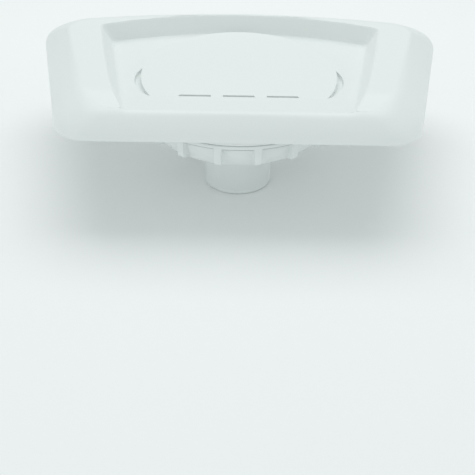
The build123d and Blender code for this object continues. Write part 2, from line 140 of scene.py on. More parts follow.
@dataclass
class Shell:
    """A mesh in the making: closed sheets of quads on grids, gathered into one piece."""

    name: str

    def __post_init__(self) -> None:
        """Starts with nothing gathered."""
        self.points: list[np.ndarray] = []
        self.quads: list[np.ndarray] = []
        self.count = 0

    def add_loop(self, grid: np.ndarray, closed_rows: bool = True) -> None:
        """Adds a closed surface from a grid whose columns, and if wished whose rows, run round.

        Vertex numbers are row times columns plus column. Each quad joins a vertex to the next row
        and the next column, both counted round. The quads are turned over if the volume that
        they enclose, the sum of each corner times the cross product of the next two, is negative.

        Args:
            grid: Points in millimetres, rows by columns by 3.
            closed_rows: Whether the last row joins the first; otherwise both ends get a cap.
        """
        rows, columns = grid.shape[:2]
        row = np.arange(rows if closed_rows else rows - 1)[:, None]
        column = np.arange(columns)[None, :]
        near, far = row * columns, ((row + 1) % rows) * columns
        here, beside = column, (column + 1) % columns
        quads = np.stack([near + here, near + beside, far + beside, far + here], axis=-1)
        quads = quads.reshape(-1, 4)
        points = grid.reshape(-1, 3)
        if not closed_rows:
            middles = grid[[0, -1]].mean(axis=1)
            points = np.vstack([points, middles])
            ring = np.arange(columns)
            following = (ring + 1) % columns
            last = (rows - 1) * columns
            first_cap = np.stack([following, ring, np.full(columns, rows * columns)], axis=-1)
            end = np.full(columns, rows * columns + 1)
            last_cap = np.stack([last + ring, last + following, end], axis=-1)
            caps = np.vstack([first_cap, last_cap])
            caps = np.hstack([caps, caps[:, 2:]])
            quads = np.vstack([quads, caps])
        a, b, c, d = (points[quads[:, k]] for k in range(4))
        volume = np.sum(a * np.cross(b, c)) + np.sum(a * np.cross(c, d))
        if volume < 0.0:
            quads = quads[:, ::-1]
        self.points.append(points)
        self.quads.append(quads + self.count)
        self.count += len(points)

    def finish(self, material: bpy.types.Material, body: str, slot: str, *stands_for: str):
        """Makes the Blender object, dresses it and ties it to its body.

        Args:
            material: The finish of the whole piece.
            body: CAD body that the piece rides on.
            slot: Not used.
            stands_for: CAD nodes that the piece replaces.

        Returns:
            The new object.
        """
        points, quads = np.vstack(self.points) * MM, np.vstack(self.quads)
        is_cap = quads[:, 2] == quads[:, 3]
        is_cap_flipped = quads[:, 0] == quads[:, 1]
        corners = np.where(is_cap_flipped[:, None], np.roll(quads, -1, axis=1), quads)
        sizes = np.where(is_cap | is_cap_flipped, 3, 4)
        keep = np.arange(4)[None, :] < sizes[:, None]
        loops = corners[keep]
        mesh = bpy.data.meshes.new(self.name)
        mesh.vertices.add(len(points))
        mesh.vertices.foreach_set("co", points.astype(np.float32).ravel())
        mesh.loops.add(len(loops))
        mesh.loops.foreach_set("vertex_index", loops.astype(np.int32))
        mesh.polygons.add(len(sizes))
        starts = np.concatenate([[0], np.cumsum(sizes)[:-1]])
        mesh.polygons.foreach_set("loop_start", starts.astype(np.int32))
        mesh.polygons.foreach_set("use_smooth", np.ones(len(sizes), bool))
        mesh.update(calc_edges=True)
        mesh.validate()
        mesh.set_sharp_from_angle(angle=SHARP_ANGLE)
        mesh.materials.append(material)
        piece = bpy.data.objects.new(self.name, mesh)
        bpy.context.scene.collection.objects.link(piece)
        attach(piece, body)
        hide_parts(*stands_for)
        log.info("%s: %d faces for %s", self.name, len(sizes), ", ".join(stands_for))
        return piece


# Finishes -------------------------------------------------------------------------------------


def shared(look: "MouldedPlastic | MouldedRubber | FilterPaper | PaleSheet") -> bpy.types.Material:
    """The look's material, made at its first use and shared by every later one."""
    return bpy.data.materials.get(look.name) or look.build()


def linear(hex_colour: str) -> tuple[float, float, float, float]:
    """Turns an sRGB hex colour to linear values with full alpha."""
    channels = [int(hex_colour[i : i + 2], 16) / 255.0 for i in (1, 3, 5)]
    return (*[c / 12.92 if c <= 0.04045 else ((c + 0.055) / 1.055) ** 2.4 for c in channels], 1.0)


def add_node(tree: bpy.types.NodeTree, kind: str, settings: dict, links: dict) -> bpy.types.Node:
    """Adds a node with its settings and links.

    Args:
        tree: The material's node tree.
        kind: Blender's name of the node type.
        settings: Node properties, and values of input sockets by socket name or number.
        links: Output sockets by the name or number of the input socket that they feed.

    Returns:
        The new node.
    """
    made = tree.nodes.new(kind)
    for key, value in settings.items():
        if isinstance(key, str) and hasattr(made, key):
            setattr(made, key, value)
        else:
            made.inputs[key].default_value = value
    for key, source in links.items():
        tree.links.new(source, made.inputs[key])
    return made


def per_mm(size: float) -> float:
    """Texture scale that gives features of a size in millimetres on Object coordinates."""
    return 1.0 / (size * MM)


@dataclass(frozen=True)
class MouldedPlastic:
    """Injection-moulded plastic: an even pale body with the satin skin that the mould gave it.

    To the eye that is a slightly green white whose highlights are broad and soft, and drift a
    little in sharpness and tone where the plastic flowed.
    """

    name: str
    colour: str
    flow_colour: str
    gloss_rough: float
    satin_rough: float
    grain_mm: float  # width of the shallow waves that the mould's polishing left
    grain_depth_mm: float
    flow_mm: float  # width of the flow marks

    def build(self) -> bpy.types.Material:
        """Makes the material."""
        material = bpy.data.materials.new(self.name)
        material.use_nodes = True
        tree = material.node_tree
        tree.nodes.clear()
        place = add_node(tree, "ShaderNodeTexCoord", {}, {}).outputs["Object"]
        flow_settings = {"Scale": per_mm(self.flow_mm), "Detail": 0.0}
        flow = add_node(tree, "ShaderNodeTexNoise", flow_settings, {"Vector": place})
        grain_settings = {"Scale": per_mm(self.grain_mm), "Detail": 0.0}
        grain = add_node(tree, "ShaderNodeTexNoise", grain_settings, {"Vector": place})
        colours = {
            "data_type": "RGBA",
            6: linear(self.colour),
            7: linear(self.flow_colour),
        }
        tint = add_node(tree, "ShaderNodeMix", colours, {0: flow.outputs[0]})
        span = {"From Min": 0.3, "From Max": 0.7}
        span |= {"To Min": self.gloss_rough, "To Max": self.satin_rough}
        rough = add_node(tree, "ShaderNodeMapRange", span, {"Value": flow.outputs[0]})
        relief = {"Strength": 1.0, "Distance": self.grain_depth_mm * MM}
        bump = add_node(tree, "ShaderNodeBump", relief, {"Height": grain.outputs[0]})
        body = {"IOR": 1.49}
        sources = {
            "Base Color": tint.outputs[2],
            "Roughness": rough.outputs[0],
            "Normal": bump.outputs[0],
        }
        shader = add_node(tree, "ShaderNodeBsdfPrincipled", body, sources)
        add_node(tree, "ShaderNodeOutputMaterial", {}, {"Surface": shader.outputs[0]})
        return material


@dataclass(frozen=True)
class MouldedRubber:
    """Press-moulded nitrile rubber: nearly black, dusty and matt, with a fine flash of talc."""

    name: str
    colour: str
    dust_colour: str
    rough: float
    speck_mm: float
    relief_mm: float

    def build(self) -> bpy.types.Material:
        """Makes the material."""
        material = bpy.data.materials.new(self.name)
        material.use_nodes = True
        tree = material.node_tree
        tree.nodes.clear()
        place = add_node(tree, "ShaderNodeTexCoord", {}, {}).outputs["Object"]
        specks = {"Scale": per_mm(self.speck_mm), "Detail": 5.0, "Roughness": 0.6}
        dust = add_node(tree, "ShaderNodeTexNoise", specks, {"Vector": place})
        share = {"From Min": 0.45, "From Max": 0.8}
        amount = add_node(tree, "ShaderNodeMapRange", share, {"Value": dust.outputs[0]})
        colours = {"data_type": "RGBA", 6: linear(self.colour), 7: linear(self.dust_colour)}
        tint = add_node(tree, "ShaderNodeMix", colours, {0: amount.outputs[0]})
        relief = {"Strength": 1.0, "Distance": self.relief_mm * MM}
        bump = add_node(tree, "ShaderNodeBump", relief, {"Height": dust.outputs[0]})
        sources = {"Base Color": tint.outputs[2], "Normal": bump.outputs[0]}
        body = {"Roughness": self.rough, "IOR": 1.52}
        shader = add_node(tree, "ShaderNodeBsdfPrincipled", body, sources)
        add_node(tree, "ShaderNodeOutputMaterial", {}, {"Surface": shader.outputs[0]})
        return material


@dataclass(frozen=True)
class FilterPaper:
    """Wet-laid cotton linter paper: soft, fully matt, with short fibres felted in all directions."""

    name: str
    colour: str
    fibre_colour: str
    fibre_mm: float
    felt_mm: float
    relief_mm: float

    def build(self) -> bpy.types.Material:
        """Makes the material."""
        material = bpy.data.materials.new(self.name)
        material.use_nodes = True
        tree = material.node_tree
        tree.nodes.clear()
        place = add_node(tree, "ShaderNodeTexCoord", {}, {}).outputs["Object"]
        felt_settings = {"Scale": per_mm(self.felt_mm), "Detail": 6.0, "Roughness": 0.7}
        felt = add_node(tree, "ShaderNodeTexNoise", felt_settings, {"Vector": place})
        fibre_settings = {"Scale": per_mm(self.fibre_mm), "Detail": 4.0, "Distortion": 2.5}
        fibre = add_node(tree, "ShaderNodeTexNoise", fibre_settings, {"Vector": place})
        colours = {"data_type": "RGBA", 6: linear(self.colour), 7: linear(self.fibre_colour)}
        tint = add_node(tree, "ShaderNodeMix", colours, {0: felt.outputs[0]})
        relief = {"Strength": 1.0, "Distance": self.relief_mm * MM}
        bump = add_node(tree, "ShaderNodeBump", relief, {"Height": fibre.outputs[0]})
        sources = {"Base Color": tint.outputs[2], "Normal": bump.outputs[0]}
        body = {"Roughness": 0.95, "Sheen Weight": 0.3, "Sheen Roughness": 0.6}
        shader = add_node(tree, "ShaderNodeBsdfPrincipled", body, sources)
        add_node(tree, "ShaderNodeOutputMaterial", {}, {"Surface": shader.outputs[0]})
        return material


@dataclass(frozen=True)
class PaleSheet:
    """Matt pale paper sweep under the object, with a barely uneven tone."""

    name: str
    colour: str
    cloud_colour: str
    cloud_mm: float

    def build(self) -> bpy.types.Material:
        """Makes the material."""
        material = bpy.data.materials.new(self.name)
        material.use_nodes = True
        tree = material.node_tree
        shader = tree.nodes["Principled BSDF"]
        shader.inputs["Roughness"].default_value = 0.9
        shader.inputs["Specular IOR Level"].default_value = 0.1
        place = add_node(tree, "ShaderNodeTexCoord", {}, {}).outputs["Object"]
        cloud_settings = {"Scale": per_mm(self.cloud_mm)}
        clouds = add_node(tree, "ShaderNodeTexNoise", cloud_settings, {"Vector": place})
        colours = {"data_type": "RGBA", 6: linear(self.colour), 7: linear(self.cloud_colour)}
        tint = add_node(tree, "ShaderNodeMix", colours, {0: clouds.outputs[0]})
        tree.links.new(tint.outputs[2], shader.inputs["Base Color"])
        return material


TRAY_PLASTIC = MouldedPlastic(
    "white moulded polypropylene, tray", "#F2F5F4", "#EEF3F1", 0.38, 0.44, 5.0, 0.004, 60.0
)
BOWL_PLASTIC = MouldedPlastic(
    "white moulded polypropylene, bowl", "#F0F4F3", "#ECF2F0", 0.36, 0.42, 4.0, 0.003, 45.0
)
INNER_PLASTIC = MouldedPlastic(
    "white moulded polypropylene, plate", "#E9EFED", "#E2EAE7", 0.40, 0.48, 3.0, 0.004, 30.0
)
SEAL_RUBBER = MouldedRubber("moulded nitrile rubber", "#26292B", "#4A4E50", 0.62, 0.5, 0.03)
PAPER = FilterPaper("cotton filter paper", "#F3F1EA", "#E6E2D6", 0.5, 2.4, 0.06)
SWEEP = PaleSheet("pale paper sweep", "#FFFFFF", "#FCFDFD", 400.0)


# Tray -----------------------------------------------------------------------------------------


@dataclass(frozen=True)
class Outline:
    """Plan outline of the tray at one height: straight front, spreading sides, bowed back."""

    front: float
    back: float
    bow: float
    half_width: float
    taper: float
    front_round: float
    back_round: float

    def back_arc(self) -> tuple[float, float]:
        """Radius of the bowed back and the place of its centre along Y.

        A circle through both back corners and the back's middle has the radius
        (half chord squared plus bow squared) over two bows.
        """
        chord = self.half_width + self.taper * self.back
        radius = (chord**2 + self.bow**2) / (2.0 * self.bow)
        return radius, self.back + self.bow - radius

    def loop(self, counts: tuple[int, int, int, int, int]) -> np.ndarray:
        """Points round the outline from the front's middle by the right side.

        The front corner's circle touches the front line and the side line. The back corner's
        circle touches the side line and, from inside, the back's circle, which gives a quadratic
        for its centre.

        Args:
            counts: Number of points in the half front, the front corner, the side, the back corner
                and the half back. Outlines with equal counts have matching points.

        Returns:
            Points, 2 * sum(counts) by 2.
        """
        k, slant = self.taper, math.hypot(1.0, self.taper)
        radius, middle = self.back_arc()
        front_y = self.front_round - self.front
        front_x = self.half_width + k * front_y - self.front_round * slant
        a = self.half_width - self.back_round * slant
        inner = radius - self.back_round
        half_b = a * k - middle
        free = a**2 + middle**2 - inner**2
        back_y = (-half_b + math.sqrt(half_b**2 - slant**2 * free)) / slant**2
        back_x = a + k * back_y
        side = math.atan2(-k, 1.0)
        turn = math.atan2(back_y - middle, back_x)

        def span(start: float, end: float, count: int) -> np.ndarray:
            """Even values from start up to but without end."""
            return start + (end - start) * np.arange(count) / count

        def arc(x: float, y: float, r: float, start: float, end: float, count: int) -> np.ndarray:
            """Points on a circle between two angles."""
            angle = span(start, end, count)
            return np.stack([x + r * np.cos(angle), y + r * np.sin(angle)], axis=-1)

        n_front, n_corner, n_side, n_back_corner, n_back = counts
        front = np.stack([span(0.0, front_x, n_front), np.full(n_front, -self.front)], axis=-1)
        corner = arc(front_x, front_y, self.front_round, -math.pi / 2, side, n_corner)
        out = np.array([math.cos(side), math.sin(side)])
        low = np.array([front_x, front_y]) + self.front_round * out
        high = np.array([back_x, back_y]) + self.back_round * out
        sides = low + (high - low) * (np.arange(n_side) / n_side)[:, None]
        back_corner = arc(back_x, back_y, self.back_round, side, turn, n_back_corner)
        back = arc(0.0, middle, radius, turn, math.pi / 2, n_back)
        half = np.vstack([front, corner, sides, back_corner, back])
        top = np.array([[0.0, middle + radius]])
        mirrored = half[1:][::-1] * np.array([-1.0, 1.0])
        return np.vstack([half, top, mirrored])


@dataclass
class Tray:
    """Sloped tray: recess, lands that fall to the front lip, bulged skirt, and bayonet socket."""

    skirt: Outline = Outline(62.0, 90.0, 6.5, 110.0, 0.242, 22.0, 18.0)
    land: Outline = Outline(50.0, 51.0, 13.5, 94.6, 0.25, 24.0, 14.0)
    foot: Outline = Outline(51.2, 45.5, 14.5, 70.2, 0.19, 1.6, 6.0)
    counts: tuple[int, int, int, int, int] = (40, 26, 46, 34, 54)
    skirt_wall: float = 3.0
    skirt_lift: float = 4.6  # of the skirt's lower edge above the socket's
    deck_thickness: float = 2.0  # at the deck's front edge, which is level with the floor there
    bottom_round: float = 0.8
    land_rise: float = 10.7  # above the floor, at the axis
    land_slope: float = 0.06
    dip_start: float = 37.0
    lip_front: float = 54.0
    lip_start: float = -44.0  # where the lip begins to be thicker than the lands
    lip_slope: float = 0.3
    shelf_rise: float = 3.4
    chord: float = 28.2
    crease_back: float = 8.0
    back_floor_slope: float = 0.06
    side_draft: float = 0.6
    back_draft: float = 0.2
    foot_round: float = 2.4
    corner_round: float = 9.0
    edge_round: float = 1.3
    shoulder: float = 3.2  # how far the rounding of the skirt's upper edge reaches into the lands
    bulge: float = 0.927
    deck_gap: float = 0.4
    front_gap: float = 0.06
    finger_radius: float = 33.0
    finger_reach: float = 3.4
    finger_angle: float = -9.5
    seat_width: float = 10.0
    socket_gap: float = 0.4
    socket_wall: float = 3.2
    floor_thickness: float = 4.0
    lip_thickening: float = 2.2
    brim_drop: float = 0.35  # rounding of the floor's edge round the deck
    land_shares: tuple[float, ...] = (0.85, 0.65, 0.45, 0.3, 0.2)  # rows under the lands
    floor_shares: tuple[float, ...] = (0.22, 0.16, 0.1)  # rows under the floor's edge
    lug_count: int = 3
    lug_middle: float = 249.6
    lug_sweep: float = 10.0
    lug_height: float = 2.4
    lug_reach: float = 1.9
    lug_rise: float = 1.5  # above the socket's lower edge

    def __post_init__(self) -> None:
        """Works out the heights and radii from the CAD nodes' boxes."""
        self.bottom = TRAY_BOX[0, 2] + self.skirt_lift
        self.socket_bottom = TRAY_BOX[0, 2]
        self.seat = DECK_BOX[0, 2]
        self.floor_height = self.seat + self.deck_thickness
        self.lip_height = self.floor_height + self.shelf_rise
        self.land_height = self.floor_height + self.land_rise
        self.deck_radius = DECK_BOX[1, 0]
        self.ceiling = GASKET_BOX[1, 2]
        self.rim_radius = GASKET_BOX[1, 0]

    def land_z(self, y: np.ndarray) -> np.ndarray:
        """Height of the lands: a plane that rises toward the back and in front falls to the lip.

        The fall is the cubic that meets the plane and the lip at their own slopes, and beyond
        the lip the lip's slope goes on.
        """
        plane = self.land_height + self.land_slope * y
        length = self.lip_front - self.dip_start
        ahead = np.clip((-self.dip_start - y) / length, 0.0, 1.0)
        start = self.land_height - self.land_slope * self.dip_start
        cubic = (
            (1 + 2 * ahead) * (1 - ahead) ** 2 * start
            - ahead * (1 - ahead) ** 2 * length * self.land_slope
            + ahead**2 * (3 - 2 * ahead) * self.lip_height
            + ahead**2 * (1 - ahead) * length * self.lip_slope
        )
        beyond = self.lip_slope * np.clip(-self.lip_front - y, 0.0, None)
        return np.where(y > -self.dip_start, plane, cubic - beyond)

    def floor_z(self, y: np.ndarray) -> np.ndarray:
        """Height of the recess's floor: level, rising to the lip in front and gently at the back."""
        shelf = self.shelf_rise / (self.lip_front - self.chord) * (-self.chord - y)
        back = self.back_floor_slope * (y - self.crease_back)
        return self.floor_height + blend_max(blend_max(shelf, 0.0 * y, 0.25), back, 0.2)

    def top_z(self, x: np.ndarray, y: np.ndarray, grow: float = 0.0, below: bool = False) -> np.ndarray:
        """Height of the tray inside its skirt: the lower of the lands and the recess.

        The recess is its floor plus the higher of the side walls' and the back wall's rise. A
        wall's rise is the distance past its foot over its draft.

        Args:
            x: Distances to the right of the axis.
            y: Distances behind the axis.
            grow: How far the walls stand back, for the underside.
            below: Whether the recess is lowered by the floor's thickness, for the underside.

        Returns:
            Heights.
        """
        radius, middle = self.foot.back_arc()
        side = (np.abs(x) - self.foot.half_width - self.foot.taper * y - grow) / self.side_draft
        arc = middle + np.sqrt(np.clip(radius**2 - x**2, 0.0, None))
        back = (y - arc - grow) / self.back_draft
        rise = blend_max(side, back, self.corner_round)
        walls = self.floor_z(y) + blend_max(rise, 0.0 * rise, self.foot_round)
        if below:
            walls = walls - self.floor_thickness
        return blend_min(self.land_z(y), walls, self.edge_round)

    def skirt_at(self, v: np.ndarray, inset: float = 0.0) -> tuple[np.ndarray, np.ndarray]:
        """The bulged skirt at shares of its drop.

        Going down by a share v, the outline has gone out by (1 - b) v + b sin(v times a quarter
        turn), where b is the bulge.

        Args:
            v: Shares of the drop, rows by columns.
            inset: How far the surface stands in.

        Returns:
            Plan points, rows by columns by 2, and heights, rows by columns.
        """
        upper, lower = self.land.loop(self.counts), self.skirt.loop(self.counts)
        out = outward(lower)
        share = (1.0 - self.bulge) * v + self.bulge * np.sin(np.pi / 2 * v)
        plan = upper + (lower - upper) * share[..., None] - inset * out
        start = self.land_height + self.land_slope * upper[:, 1]
        return plan, start + (self.bottom - start) * v

    def top_share(self) -> np.ndarray:
        """Share of the skirt's drop at which it comes up through the lands, for each column.

        Found by halving the interval sixteen times.
        """
        columns = 2 * sum(self.counts)
        low, high = np.zeros(columns), np.full(columns, 0.9)
        for _ in range(16):
            middle = (low + high) / 2.0
            plan, height = self.skirt_at(middle[None])
            above = height[0] > self.land_z(plan[0, :, 1])
            low, high = np.where(above, middle, low), np.where(above, high, middle)
        return low

    def deck_edge(self, angle: np.ndarray) -> np.ndarray:
        """Radius of the deck's seat along each angle, with its finger recesses and its chord.

        A finger recess is a circle whose far side reaches past the deck. The ray meets it at
        c cos d plus the root of r squared less (c sin d) squared.
        """
        seat = self.deck_radius + self.deck_gap
        reach = seat + self.finger_reach - self.finger_radius
        radius = np.full_like(angle, seat)
        for side in (math.radians(self.finger_angle), math.pi - math.radians(self.finger_angle)):
            apart = angle - side
            far = reach * np.cos(apart)
            beside = (reach * np.sin(apart)) ** 2
            far = far + np.sqrt(np.clip(self.finger_radius**2 - beside, 0, None))
            radius = np.where(np.cos(apart) > 0.0, np.maximum(radius, far), radius)
        return cut_by_chord(radius, angle, self.chord + self.front_gap)

    def upper_rows(self, foot: np.ndarray, edge: np.ndarray, brow: np.ndarray) -> np.ndarray:
        """Plan rows from the deck's seat over floor, wall and land to the skirt's start."""
        floor = crossing(edge, foot, crowded(13, 2.0, 1.6))
        wall = crossing(foot, brow, np.linspace(0.0, 1.0, 15)[1:])
        plan, _ = self.skirt_at(self.start_share[None])
        land = crossing(brow, plan[0], crowded(15, 1.5, 1.5)[1:])
        return np.concatenate([floor, wall, land])

    def build(self) -> bpy.types.Object:
        """Makes the tray as one closed sheet that runs over its top and back under it.

        The rows go from the deck's seat outward over the top, down the skirt, back under the
        lands and the floor, and round the socket's wall to the seat again. Each column crosses
        the outlines at matching points.
        """
        foot = self.foot.loop(self.counts)
        out = outward(foot)
        height = np.clip(self.land_z(foot[:, 1]) - self.floor_z(foot[:, 1]), 0.0, None)
        draft = self.side_draft * np.abs(out[:, 0]) + self.back_draft * np.abs(out[:, 1])
        brow = foot + out * np.maximum(height * draft, 0.7)[:, None]
        share = self.top_share()
        plan, _ = self.skirt_at(share[None])
        lead = np.clip(0.45 * np.linalg.norm(plan[0] - brow, axis=-1), 0.3, self.shoulder)
        flare = np.linalg.norm(self.skirt.loop(self.counts) - self.land.loop(self.counts), axis=-1)
        self.start_share = share - lead / (flare * self.bulge * np.pi / 2)
        angle = snapped(np.arctan2(foot[:, 1], foot[:, 0]), self.corner_angles())
        around = np.stack([np.cos(angle), np.sin(angle)], axis=-1)
        edge = around * self.deck_edge(angle)[:, None]
        upper = self.upper_rows(foot, edge, brow)
        drop = self.last_share() - self.start_share
        skirt_v = self.start_share + drop * crowded(34, 1.0, 1.5)[:, None]
        skirt, skirt_z = self.skirt_at(skirt_v)
        slope = (skirt_z[1] - skirt_z[0]) / np.linalg.norm(skirt[1] - skirt[0], axis=-1)
        width = np.maximum(lead * np.abs(slope), 0.25)
        inward = np.linalg.norm(upper - skirt[0], axis=-1)
        skirt_on = skirt_z[0] - slope * inward
        upper_z = blend_min(self.top_z(upper[..., 0], upper[..., 1]), skirt_on, width)
        top = with_height(upper[:-1], upper_z[:-1])
        face_z = blend_min(self.top_z(skirt[..., 0], skirt[..., 1]), skirt_z, width)
        face = with_height(skirt, face_z)
        shell = Shell("tray_shell")
        shell.add_loop(np.concatenate([top, face, self.hem(), self.under(foot, brow, angle)]))
        for index in range(self.lug_count):
            shell.add_loop(self.lug(self.lug_middle + 360.0 / self.lug_count * index), False)
        return shell.finish(shared(TRAY_PLASTIC), "tray", "tray_plastic", "tray")

    def corner_angles(self) -> list[float]:
        """Angles of the two ends of the deck's front chord, from +X."""
        lean = math.asin((self.chord + self.front_gap) / (self.deck_radius + self.deck_gap))
        return [-lean, -math.pi + lean]

    def last_share(self) -> float:
        """Share of the drop at which the skirt's rounded lower edge starts."""
        return 1.0 - self.bottom_round / (self.land_height - self.bottom)

    def hem(self) -> np.ndarray:
        """Rows round the skirt's lower edge: a quarter circle, the flat foot and a quarter circle."""
        lower = self.skirt.loop(self.counts)
        out = outward(lower)
        turn = np.linspace(0.15, 1.0, 5) * np.pi / 2
        r = self.bottom_round
        outer = np.stack([r * (1 - np.cos(turn)), r * (1 - np.sin(turn))], axis=-1)
        inner = np.stack([self.skirt_wall - outer[::-1, 0], outer[::-1, 1]], axis=-1)
        steps = np.vstack([outer, inner])
        plan = lower - steps[:, 0, None, None] * out
        return with_height(plan, np.repeat(self.bottom + steps[:, 1, None], len(lower), axis=1))

    def under(self, foot: np.ndarray, brow: np.ndarray, angle: np.ndarray) -> np.ndarray:
        """Rows of the underside from inside the skirt to the deck's seat.

        The underside is the top's own formula with the walls further out and the lands lower, and
        every point is kept outside the socket's wall.
        """
        socket_in = self.rim_radius + self.socket_gap
        socket_out = socket_in + self.socket_wall
        climb = self.start_share - self.last_share()
        v = self.last_share() + climb * np.linspace(0.05, 1.0, 14)[:, None]
        inner, inner_z = self.skirt_at(v, self.skirt_wall)
        deep = inner[-1]
        rows = [brow + (deep - brow) * share for share in self.land_shares]
        rows += [foot + (deep - foot) * share for share in self.floor_shares]
        plan = np.concatenate([inner, np.array(rows)])
        clear = socket_out + np.linspace(1.6, 0.3, len(plan))[:, None]
        far = np.linalg.norm(plan, axis=-1)
        plan = plan * np.maximum(1.0, clear / far)[..., None]
        thicker = smooth_step(self.lip_start, -self.lip_front, plan[..., 1])
        drop = self.skirt_wall + self.lip_thickening * thicker
        z = self.top_z(plan[..., 0], plan[..., 1], self.skirt_wall, below=True)
        land = self.land_z(plan[..., 1]) - drop
        z = blend_min(land, z, 0.8)
        z[: len(inner)] = blend_min(inner_z, z[: len(inner)], 1.0)
        around = np.stack([np.cos(angle), np.sin(angle)], axis=-1)
        columns = len(angle)
        wall = [(socket_out, z[-1].min() - 0.2, 0.1), (socket_out, self.socket_bottom, 0.5)]
        wall += [(socket_in, self.socket_bottom, 0.5), (socket_in, self.ceiling, 0.3)]
        profile = soft_path([(socket_in, self.ceiling + 2, 0.1), *wall], 3)[4:]
        ring = profile[:, 0, None, None] * around
        ring_z = np.repeat(profile[:, 1, None], columns, axis=1)
        hole = cut_by_chord(np.full(columns, self.deck_radius - self.seat_width), angle, self.chord)
        edge = self.deck_edge(angle)
        seat_rows = [
            (hole + 0.3, self.ceiling),
            (hole, self.ceiling + 0.3),
            (hole, self.seat - 0.3),
            (hole + 0.3, self.seat),
            (edge - 0.3, self.seat),
            (edge, self.seat + 0.3),
        ]
        seat = np.stack([r[:, None] * around for r, _ in seat_rows])
        seat_z = np.stack([np.full(columns, level) for _, level in seat_rows])
        brim_z = self.floor_z(edge * around[:, 1]) - self.brim_drop
        brim = with_height(edge[None, :, None] * around, brim_z[None])
        sheets = [with_height(plan, z), with_height(ring, ring_z), with_height(seat, seat_z), brim]
        return np.concatenate(sheets)

    def lug(self, middle: float) -> np.ndarray:
        """A bayonet lug on the socket's wall: a rounded profile carried along a short arc."""
        inner = self.rim_radius - self.lug_reach + self.socket_gap
        outer = self.rim_radius + self.socket_gap + self.socket_wall / 2
        low = self.socket_bottom + self.lug_rise
        high = low + self.lug_height
        corners = [(inner, low, 0.5), (outer, low, 0.1), (outer, high, 0.1), (inner, high, 0.5)]
        profile = soft_path(corners, 4)
        half = math.radians(self.lug_sweep / 2)
        angles = math.radians(middle) + half * np.sin(np.linspace(-np.pi / 2, np.pi / 2, 17))
        grid = turned(profile, angles)
        return np.swapaxes(grid, 0, 1)


def outward(loop: np.ndarray) -> np.ndarray:
    """Unit normals in plan of a loop that runs with the inside on its left."""
    along = np.roll(loop, -1, axis=0) - np.roll(loop, 1, axis=0)
    normal = np.stack([along[:, 1], -along[:, 0]], axis=-1)
    return normal / np.linalg.norm(normal, axis=-1, keepdims=True)


def crossing(start: np.ndarray, end: np.ndarray, shares: np.ndarray) -> np.ndarray:
    """Rows of points at shares of the way from one loop to another."""
    return start + (end - start) * shares[:, None, None]


def crowded(count: int, start: float, end: float) -> np.ndarray:
    """Shares from 0 to 1 that crowd toward each end the more, the larger its power is."""
    t = np.linspace(0.0, 1.0, count)
    return t**start / (t**start + (1.0 - t) ** end)


def with_height(plan: np.ndarray, height: np.ndarray) -> np.ndarray:
    """Plan points and heights as points in space."""
    return np.concatenate([plan, height[..., None]], axis=-1)


def cut_by_chord(radius: np.ndarray, angle: np.ndarray, chord: float) -> np.ndarray:
    """Radii along angles, cut off in front by a straight line at a distance from the axis."""
    forward = np.clip(-np.sin(angle), 1e-3, None)
    return np.minimum(radius, chord / forward)


def snapped(angle: np.ndarray, marks: list[float]) -> np.ndarray:
    """Angles with the nearest one to each mark moved onto it."""
    for mark in marks:
        angle = np.where(np.abs(angle - mark) == np.abs(angle - mark).min(), mark, angle)
    return angle


